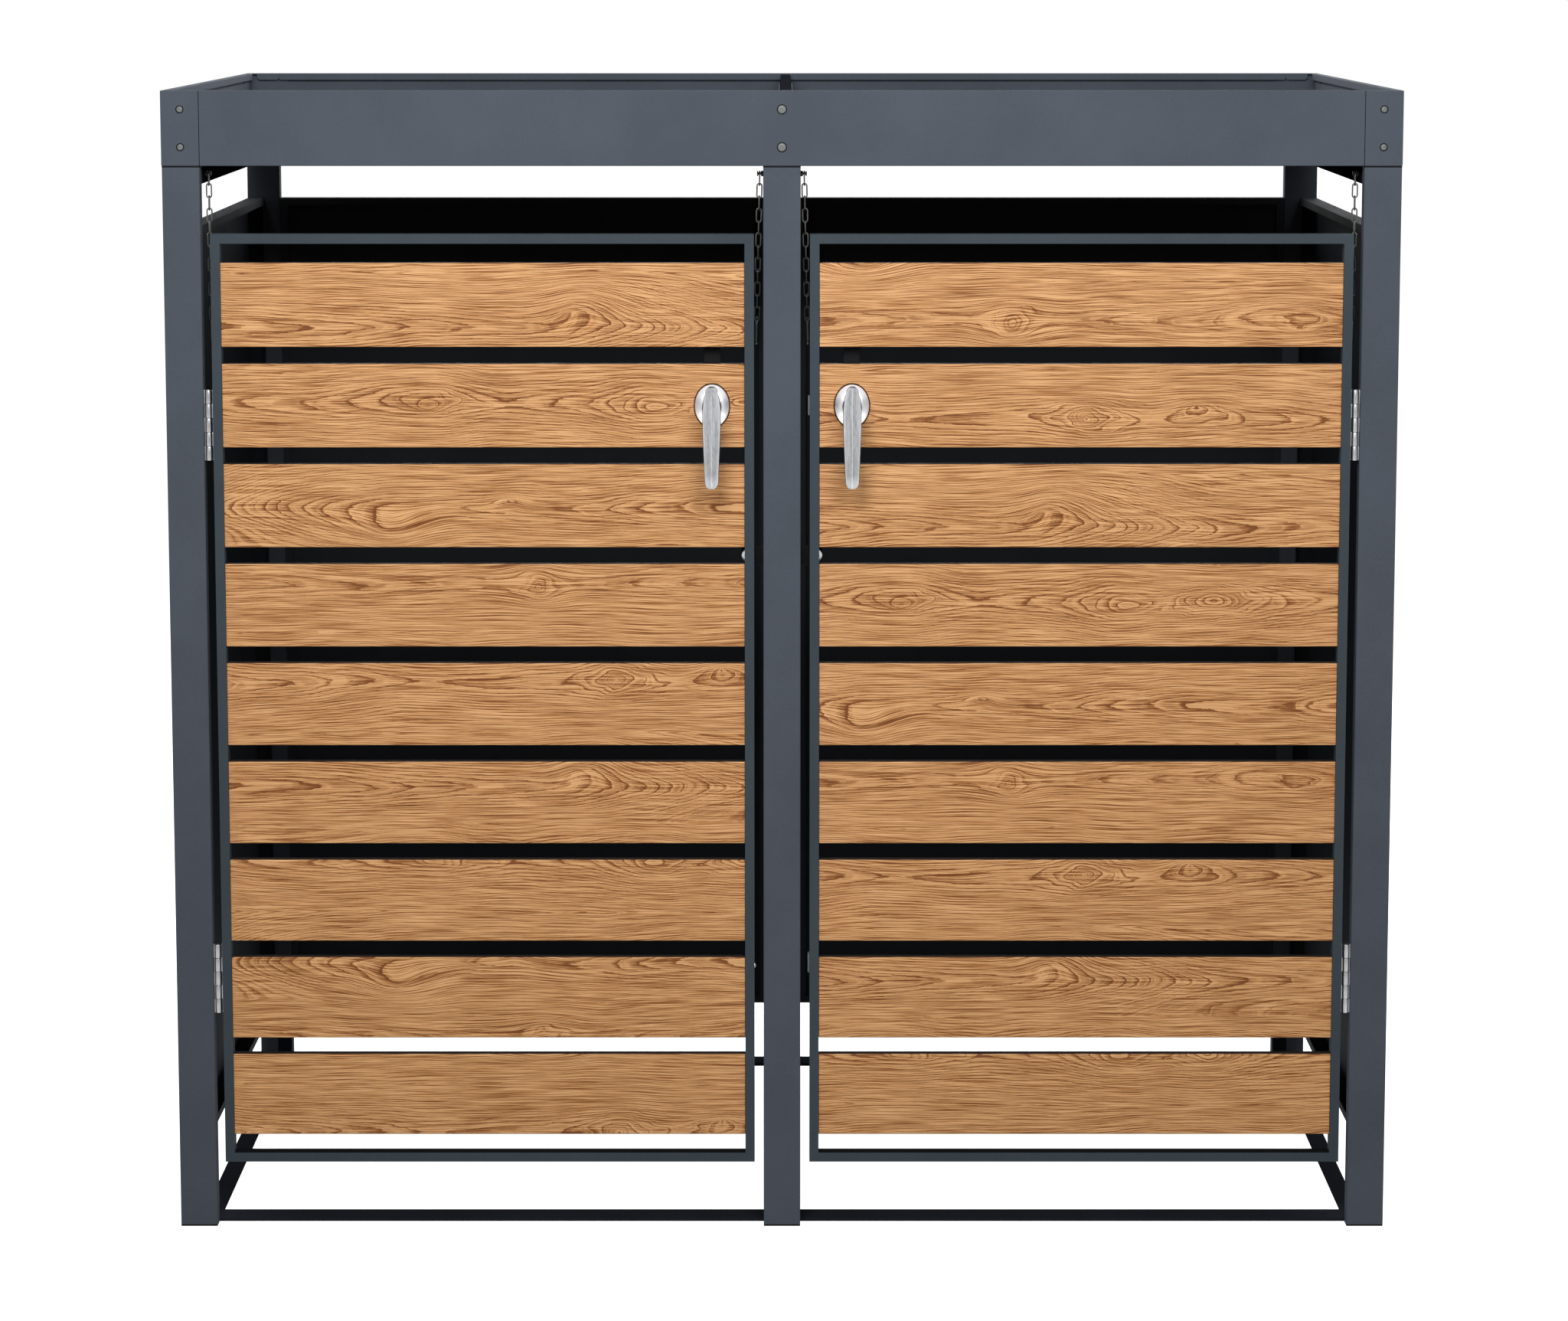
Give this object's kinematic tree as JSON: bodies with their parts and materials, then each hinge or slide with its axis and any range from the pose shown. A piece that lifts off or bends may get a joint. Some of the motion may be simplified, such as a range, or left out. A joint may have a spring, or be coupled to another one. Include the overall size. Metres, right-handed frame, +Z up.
{
  "type": "wheelie bin store",
  "caption": "Lockable store for two wheelie bins: box-section frame, folded planting roof, panelled sides and back, wood-look slatted doors on hinges, lever handles and lid chains.",
  "frame": {"origin": "bottom centre of the bounding box, on the ground", "axes": "+X to the right seen from the front, +Y from the doors to the back, +Z up"},
  "size_m": [1.3208, 0.844, 1.24],
  "materials": {
    "frame_coating": "fine-textured satin powder coat",
    "panel_coating": "fine-textured satin powder coat",
    "door_coating": "fine-textured satin powder coat",
    "tray_coating": "satin powder coat",
    "slat_decor": "satin oak-look board face with dark edges",
    "hinge_steel": "brushed",
    "screw_steel": "satin zinc",
    "rosette_steel": "bright turned",
    "lever_steel": "satin cast",
    "chain_zinc": "bright zinc",
    "latch_black": "matt black",
    "buffer_plastic": "matt",
    "foot_plastic": "matt"
  },
  "bodies": {
    "store_frame": {"front_post_left": "frame_coating", "front_post_centre": "frame_coating", "front_post_right": "frame_coating", "rear_post_left": "frame_coating", "rear_post_centre": "frame_coating", "rear_post_right": "frame_coating", "post_feet": "foot_plastic", "base_rails_cross": "frame_coating", "base_rails_side": "frame_coating", "top_rails_side": "frame_coating", "top_rail_centre": "frame_coating", "side_panel_left": "panel_coating", "side_panel_right": "panel_coating", "back_panel_left": "panel_coating", "back_panel_right": "panel_coating", "roof_fascia_front": "frame_coating", "roof_fascia_rear": "frame_coating", "roof_fascia_left": "frame_coating", "roof_fascia_right": "frame_coating", "roof_corners": "frame_coating", "roof_centre_bar": "frame_coating", "roof_tray_left": "tray_coating", "roof_tray_right": "tray_coating", "roof_screws": "screw_steel", "chain_hooks": "chain_zinc", "door_stop": "latch_black", "hinge_post_leaves": "hinge_steel"},
    "door_left": {"door_frame_left": "door_coating", "slat_left_1": "slat_decor", "slat_left_2": "slat_decor", "slat_left_3": "slat_decor", "slat_left_4": "slat_decor", "slat_left_5": "slat_decor", "slat_left_6": "slat_decor", "slat_left_7": "slat_decor", "slat_left_8": "slat_decor", "slat_left_9": "slat_decor", "hinge_door_leaves_left": "hinge_steel", "handle_rosette_left": "rosette_steel"},
    "handle_left": {"handle_lever_left": "lever_steel", "latch_tongue_left": "latch_black"},
    "chain_left_outer_links": {"chain_left_outer": "chain_zinc"},
    "chain_left_inner_links": {"chain_left_inner": "chain_zinc"},
    "door_right": {"door_frame_right": "door_coating", "slat_right_1": "slat_decor", "slat_right_2": "slat_decor", "slat_right_3": "slat_decor", "slat_right_4": "slat_decor", "slat_right_5": "slat_decor", "slat_right_6": "slat_decor", "slat_right_7": "slat_decor", "slat_right_8": "slat_decor", "slat_right_9": "slat_decor", "hinge_door_leaves_right": "hinge_steel", "handle_rosette_right": "rosette_steel", "buffer_plates_right": "buffer_plastic"},
    "handle_right": {"handle_lever_right": "lever_steel", "latch_tongue_right": "latch_black"},
    "chain_right_outer_links": {"chain_right_outer": "chain_zinc"},
    "chain_right_inner_links": {"chain_right_inner": "chain_zinc"}
  },
  "joints": [
    {"name": "door_left_swing", "type": "hinge", "parent": "store_frame", "child": "door_left", "pos_m": [-0.615, -0.376, 0.58], "axis": [0, 0, -1], "range_deg": [0, 95]},
    {"name": "handle_left_turn", "type": "hinge", "parent": "door_left", "child": "handle_left", "pos_m": [-0.075, -0.38, 0.904], "axis": [0, 1, 0], "range_deg": [0, 90]},
    {"name": "chain_left_outer_swing", "type": "hinge", "parent": "store_frame", "child": "chain_left_outer_links", "pos_m": [-0.6161, -0.332, 1.15], "axis": [1, 0, 0], "range_deg": [-3, 60]},
    {"name": "chain_left_inner_swing", "type": "hinge", "parent": "store_frame", "child": "chain_left_inner_links", "pos_m": [-0.0239, -0.332, 1.15], "axis": [1, 0, 0], "range_deg": [-3, 60]},
    {"name": "door_right_swing", "type": "hinge", "parent": "store_frame", "child": "door_right", "pos_m": [0.615, -0.376, 0.58], "axis": [0, 0, 1], "range_deg": [0, 95]},
    {"name": "handle_right_turn", "type": "hinge", "parent": "door_right", "child": "handle_right", "pos_m": [0.075, -0.38, 0.904], "axis": [0, -1, 0], "range_deg": [0, 90]},
    {"name": "chain_right_outer_swing", "type": "hinge", "parent": "store_frame", "child": "chain_right_outer_links", "pos_m": [0.6161, -0.332, 1.15], "axis": [1, 0, 0], "range_deg": [-3, 60]},
    {"name": "chain_right_inner_swing", "type": "hinge", "parent": "store_frame", "child": "chain_right_inner_links", "pos_m": [0.0239, -0.332, 1.15], "axis": [1, 0, 0], "range_deg": [-3, 60]}
  ]
}
